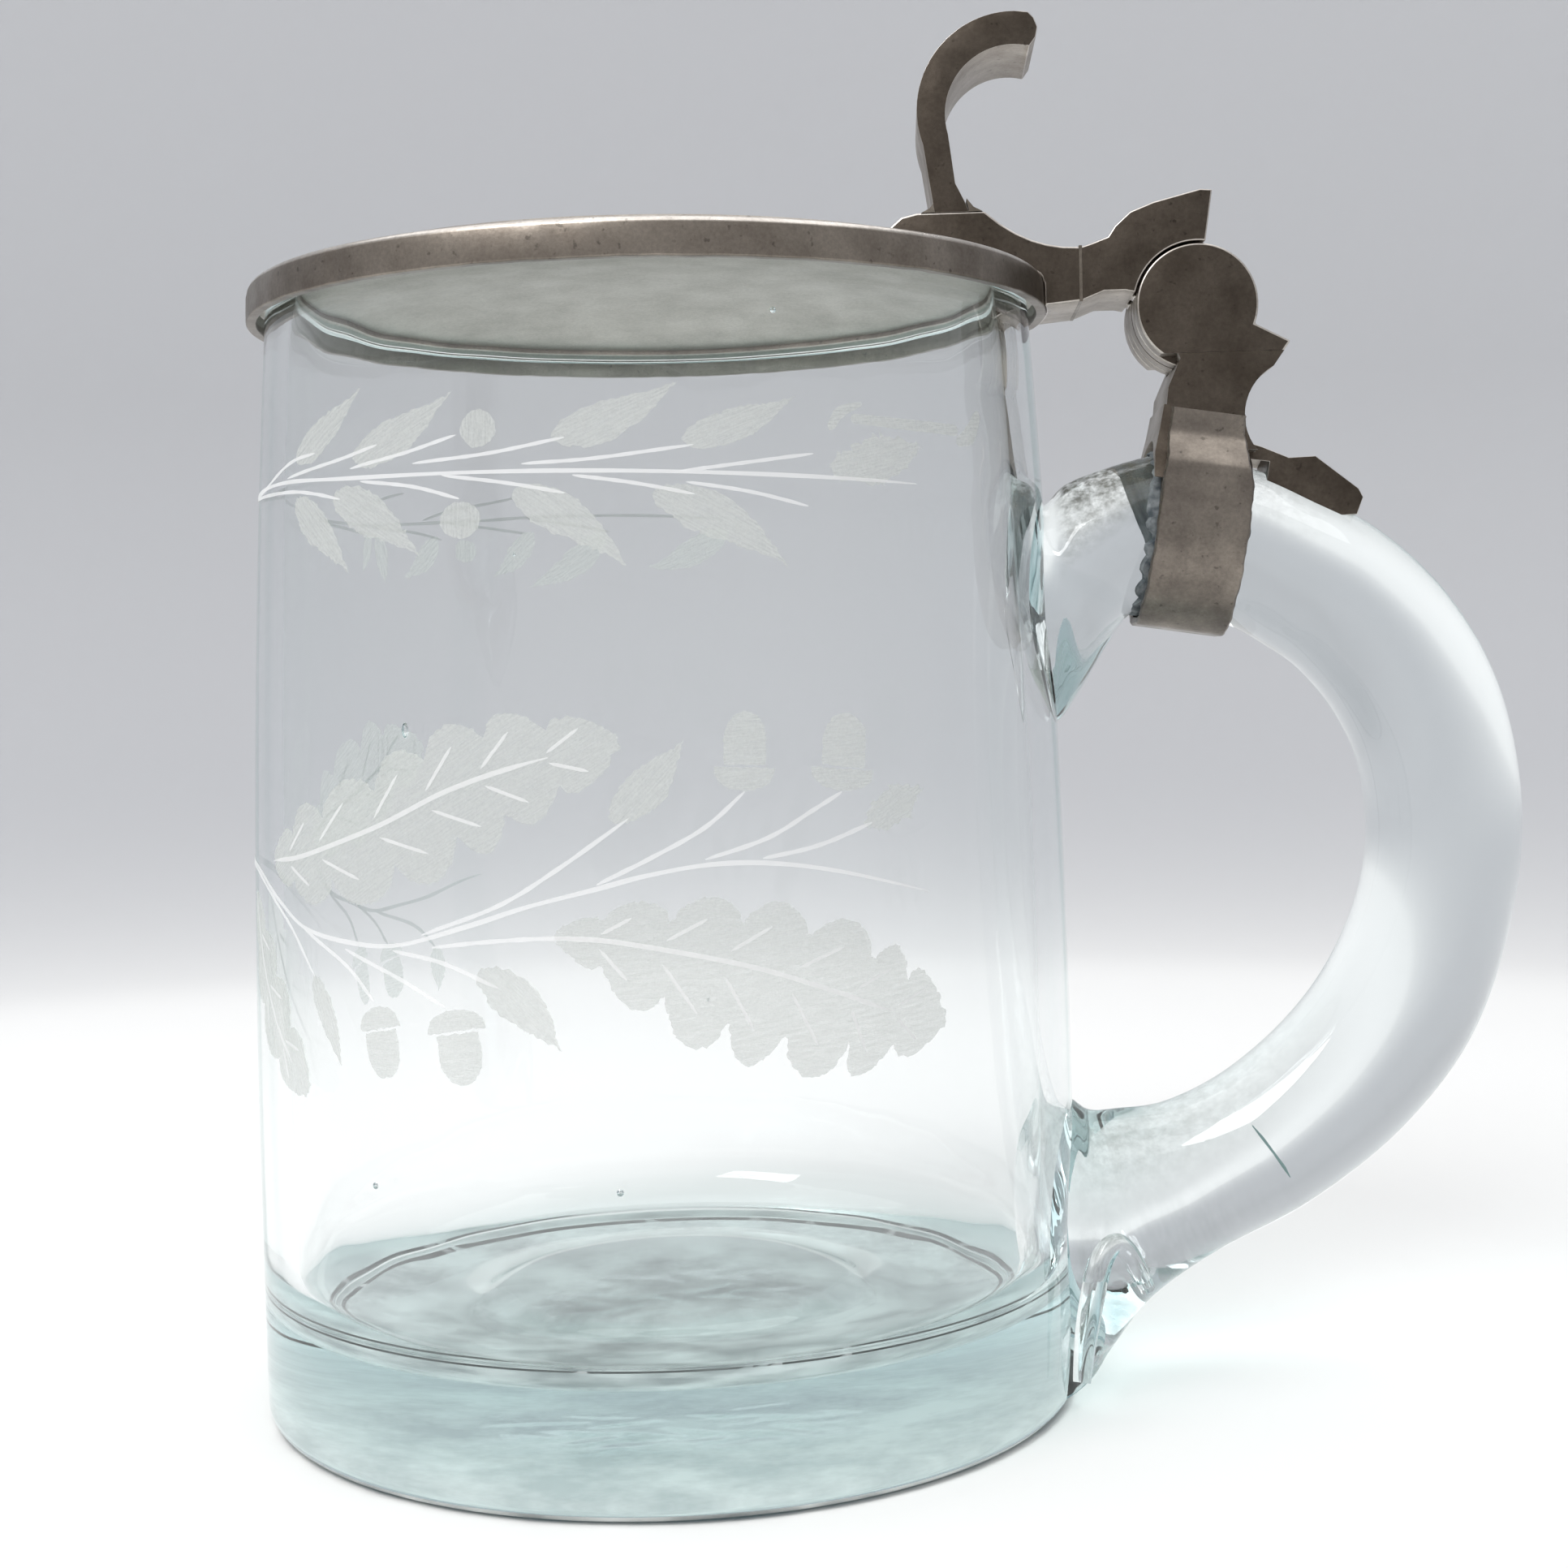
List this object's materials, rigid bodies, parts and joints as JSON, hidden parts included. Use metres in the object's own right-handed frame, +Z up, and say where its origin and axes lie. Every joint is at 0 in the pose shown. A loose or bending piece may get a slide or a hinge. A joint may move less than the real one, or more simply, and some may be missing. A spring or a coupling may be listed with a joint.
{
  "type": "lidded beer stein",
  "caption": "Half-litre clear glass beer stein with an engraved oak-leaf pattern, solid glass handle and hinged pewter lid with thumblift.",
  "frame": {"origin": "centre of the ground underside of the glass, where it stands on the table", "axes": "+Z up, +X from the mug's axis towards the handle, +Y to the left of someone who stands at the handle and looks along -X"},
  "size_m": [0.1473, 0.095, 0.1574],
  "materials": {
    "glass": "clear blown glass with a faint blue-green cast",
    "pewter": "cast pewter, satin, aged warm grey",
    "solder": "soft solder, brighter than the pewter",
    "packing": "hard plaster cement",
    "pin_steel": "drawn steel wire"
  },
  "bodies": {
    "mug": {"glass_body": "glass", "glass_handle": "glass", "strap_packing": "packing", "strap_band": "pewter", "hinge_tower": "pewter", "front_hinge_cheek": "pewter", "back_hinge_cheek": "pewter", "rear_tang": "pewter", "hinge_pin": "pin_steel"},
    "lid": {"lid_plate": "pewter", "lid_tongue": "pewter", "hinge_shank": "pewter", "shank_solder": "solder", "thumblift": "pewter", "thumblift_solder": "solder"}
  },
  "joints": [
    {"name": "lid_hinge", "type": "hinge", "parent": "mug", "child": "lid", "pos_m": [0.0626, 0, 0.1242], "axis": [0, 1, 0], "range_deg": [0, 101]}
  ]
}
